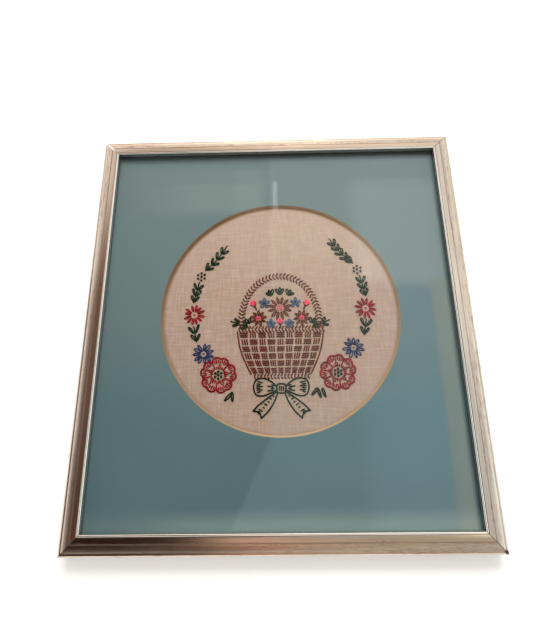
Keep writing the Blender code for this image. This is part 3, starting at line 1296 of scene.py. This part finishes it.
def board_finish():
    material, shader = new_finish("grey_brown_board")
    place = object_place(shader)
    fibre = noise(place * (1.0, 2.5, 1.0), 420.0, 5.0, 0.65)
    cloud = noise(place, 30.0)
    colour = ramp(fibre, (0.3, (0.24, 0.17, 0.11)), (0.7, (0.40, 0.30, 0.20)))
    colour = mixed(fade(cloud, 0.4, 0.7, 0.0, 0.3), colour, (0.44, 0.35, 0.25))
    fill(shader, Base_Color=colour, Roughness=0.88)
    bump(shader, fibre, 0.05 * MM, 0.5)
    return material


# Camera, floor, room and lights

def make_camera():
    right = Vector(CAMERA_RIGHT)
    up = -Vector(CAMERA_DOWN)
    back = right.cross(up)
    data = bpy.data.cameras.new("camera")
    data.sensor_width = SENSOR
    data.lens = SENSOR * FOCAL_PIXELS / PHOTO_HEIGHT
    data.shift_x = (PHOTO_WIDTH / 2 - AXIS_PIXEL[0]) / PHOTO_HEIGHT
    data.shift_y = (AXIS_PIXEL[1] - PHOTO_HEIGHT / 2) / PHOTO_HEIGHT
    data.clip_start = 0.01
    data.clip_end = 20.0
    camera = bpy.data.objects.new("camera", data)
    turn = Matrix((right, up, back)).transposed().to_4x4()
    camera.matrix_world = Matrix.Translation(CAMERA_PLACE) @ turn
    bpy.context.scene.collection.objects.link(camera)
    bpy.context.scene.camera = camera


def make_floor():
    bm = bmesh.new()
    bmesh.ops.create_grid(bm, x_segments=1, y_segments=1, size=2.5)
    material, shader = new_finish("pale_floor")
    fill(
        shader, Base_Color=(0.80, 0.80, 0.80), Roughness=0.9, Specular_IOR_Level=0.0,
        Emission_Color=(1, 1, 1), Emission_Strength=0.2,
    )
    floor = piece_from("floor", bm, material)


# Places in the mirrored room are slopes: how far across or along it for each metre up. Its graded
# colours run between these two places along it.
ROOM_NEAR = -1.2
ROOM_FAR = 2.4


def graded(place, *stops):
    """Colours along the room: each stop is its place and its colour."""
    reach = ROOM_FAR - ROOM_NEAR
    factor = calc("DIVIDE", place - ROOM_NEAR, reach, clamp=True)
    return ramp(factor, *(((at - ROOM_NEAR) / reach, colour) for at, colour in stops))


def make_room_light():
    """The room that the glass and the moulding mirror, laid out like a ceiling overhead: a bright
    wall beyond the top of the picture, a dark one at the near left, and pale sides."""
    scene = bpy.context.scene
    scene.world = bpy.data.worlds.new("room")
    tree = emptied(scene.world)
    x, y, z = split(add_node(tree, "ShaderNodeTexCoord", "Generated"))
    height = most(z, 0.05)
    across = x / height
    along = y / height

    def panel(left, right, near, far, soft=0.006):
        """1 inside a rectangle of the ceiling and 0 outside it."""
        inside = fade(across, left - soft, left + soft) * fade(across, right + soft, right - soft)
        inside = inside * fade(along, near - soft, near + soft)
        return inside * fade(along, far + soft, far - soft)

    left = graded(
        along, (-1.20, (0.025, 0.016, 0.012)), (-0.16, (0.02, 0.014, 0.010)),
        (0.05, (0.03, 0.03, 0.03)), (0.28, (0.08, 0.06, 0.06)), (0.44, (0.15, 0.12, 0.11)),
        (0.60, (0.29, 0.18, 0.17)), (1.20, (1.15, 1.0, 0.85)), (2.40, (1.5, 1.36, 1.22)),
    )
    middle = graded(
        along, (-1.20, (0.60, 0.36, 0.26)), (-0.45, (0.84, 0.50, 0.36)),
        (-0.13, (0.40, 0.42, 0.42)), (0.05, (0.26, 0.40, 0.42)), (0.28, (0.46, 0.47, 0.41)),
        (0.47, (0.78, 0.74, 0.62)), (0.575, (0.78, 0.64, 0.58)), (0.60, (0.68, 0.54, 0.56)),
        (1.20, (1.42, 1.24, 1.05)), (1.65, (1.85, 1.68, 1.50)), (2.40, (1.80, 1.65, 1.50)),
    )
    right = graded(
        along, (-1.20, (0.60, 0.53, 0.44)), (-0.45, (0.57, 0.48, 0.37)),
        (-0.17, (0.50, 0.49, 0.43)), (-0.11, (0.56, 0.66, 0.76)), (0.05, (0.42, 0.68, 0.82)),
        (0.338, (0.42, 0.56, 0.76)), (0.352, (1.28, 1.38, 1.32)), (0.575, (1.26, 1.22, 1.20)),
        (0.60, (0.76, 0.64, 0.68)), (1.20, (1.25, 1.10, 0.93)), (2.40, (1.35, 1.24, 1.12)),
    )
    cupboard = graded(
        along, (-0.10, (0.12, 0.060, 0.040)), (0.04, (0.14, 0.075, 0.050)),
        (0.16, (0.18, 0.105, 0.080)), (0.39, (0.20, 0.100, 0.062)), (0.505, (0.36, 0.24, 0.18)),
        (0.62, (0.75, 0.66, 0.58)), (0.90, (1.1, 0.98, 0.90)),
    )
    far_left = graded(
        along, (-0.60, (0.62, 0.55, 0.50)), (0.0, (0.62, 0.56, 0.52)),
        (0.16, (0.85, 0.82, 0.82)), (0.35, (0.98, 0.98, 1.0)), (2.40, (1.15, 1.15, 1.15)),
    )
    far_right = graded(
        along, (-1.20, (0.60, 0.60, 0.57)), (-0.07, (0.74, 0.75, 0.74)),
        (0.16, (0.80, 0.81, 0.80)), (0.28, (1.03, 1.03, 0.98)), (0.40, (1.15, 1.13, 1.06)),
        (0.62, (0.98, 0.97, 0.92)), (2.40, (0.95, 0.94, 0.90)),
    )
    lean = most(calc("MINIMUM", along - 0.05, 0.0) * 0.46, -0.13)
    low_right = fade(along, -0.115, -0.15) * fade(across, 0.01, 0.06)
    alcove = panel(0.115, 0.215, 0.14, 0.35, 0.022)
    curtain = fade(across, 0.299, 0.316) * panel(0.29, 0.50, -0.30, 0.355)
    cloth = mixed(fade(across, 0.31, 0.36), (1.15, 0.97, 0.70), (1.55, 1.45, 1.15))
    shade = fade(across, -0.36, -0.15) * panel(-0.38, -0.035, 0.515, 0.622, 0.016)
    strip = panel(-0.100, -0.008, 0.36, 0.62, 0.010)
    gap = panel(-0.013, -0.003, 0.520, 0.590, 0.003)
    eaves = fade(along, 0.8, 1.0) * fade(along, 2.0, 1.4) * fade(across, -0.12, -0.40)
    near_left = fade(across, -2.1, -2.5) * fade(along, 0.42, 0.16)
    corner = fade(along, -0.24, -0.36) * fade(across, -0.08, -0.20) * fade(across, -0.90, -0.60)
    pane = panel(2.6, 6.0, -0.7, 0.65, 0.08)
    glow = fade(along, -1.0, -1.9) * fade(across, 0.16, 0.0, 0.0, 0.8)
    colour = coated(
        mixed(fade(across - lean, -0.026, -0.014), left, middle),
        (fade(across, 0.130, 0.185), right),
        (low_right, right),
        (alcove * 0.8, (0.44, 0.46, 0.42)),
        (curtain, cloth),
        (shade, (0.30, 0.25, 0.16), "ADD"),
        (shade * fade(along, 0.592, 0.580), (0.30, 0.26, 0.20), "ADD"),
        (strip, (0.18, 0.18, 0.16), "ADD"),
        (gap, (2.3, 2.25, 2.2)),
        (eaves, (0.58, 0.46, 0.36)),
        (fade(across, -0.40, -0.50), cupboard),
        (fade(across, -1.10, -2.25), far_left),
        (fade(across, -2.3, -2.7), (1.45, 1.45, 1.45)),
        (near_left, (1.85, 1.83, 1.80)),
        (corner, (0.020, 0.008, 0.004)),
        (fade(across, 0.42, 0.62), far_right),
        (fade(across, 1.2, 2.0), (1.25, 1.24, 1.17)),
        (pane, (2.0, 2.5, 2.95)),
        (fade(along, 4.4, 5.2), (2.6, 2.4, 2.15)),
        (glow, (1.05, 1.0, 0.95)),
        (fade(along, -2.5, -3.6), (1.7, 1.62, 1.5)),
    )
    background = add_node(tree, "ShaderNodeBackground", Color=colour, Strength=1.0)
    fill(tree.nodes.new("ShaderNodeOutputWorld"), Surface=background)
    scene.view_settings.view_transform = "Standard"


def make_soft_light(name, place, size, power):
    """A large pale light, aimed at the middle of the frame's back."""
    data = bpy.data.lights.new(name, "AREA")
    data.shape = "RECTANGLE"
    data.size, data.size_y = size
    data.energy = power
    data.color = (1.0, 0.99, 0.98)
    light = bpy.data.objects.new(name, data)
    light.visible_glossy = False
    light.visible_camera = False
    light.location = place
    light.rotation_euler = (-Vector(place)).to_track_quat("-Z", "Y").to_euler()
    bpy.context.scene.collection.objects.link(light)


def main():
    make_camera()
    make_floor()
    make_room_light()
    make_soft_light("window_light", (0.03, 0.34, 0.46), (0.6, 0.3), 4.1)
    make_soft_light("ceiling_light", (0.0, 0.2, 1.7), (2.4, 2.2), 7.9)
    make_rails()
    dress_node("glass", glass_finish())
    dress_node("backing_board", board_finish())
    make_mat()
    make_linen(make_stitches())


main()
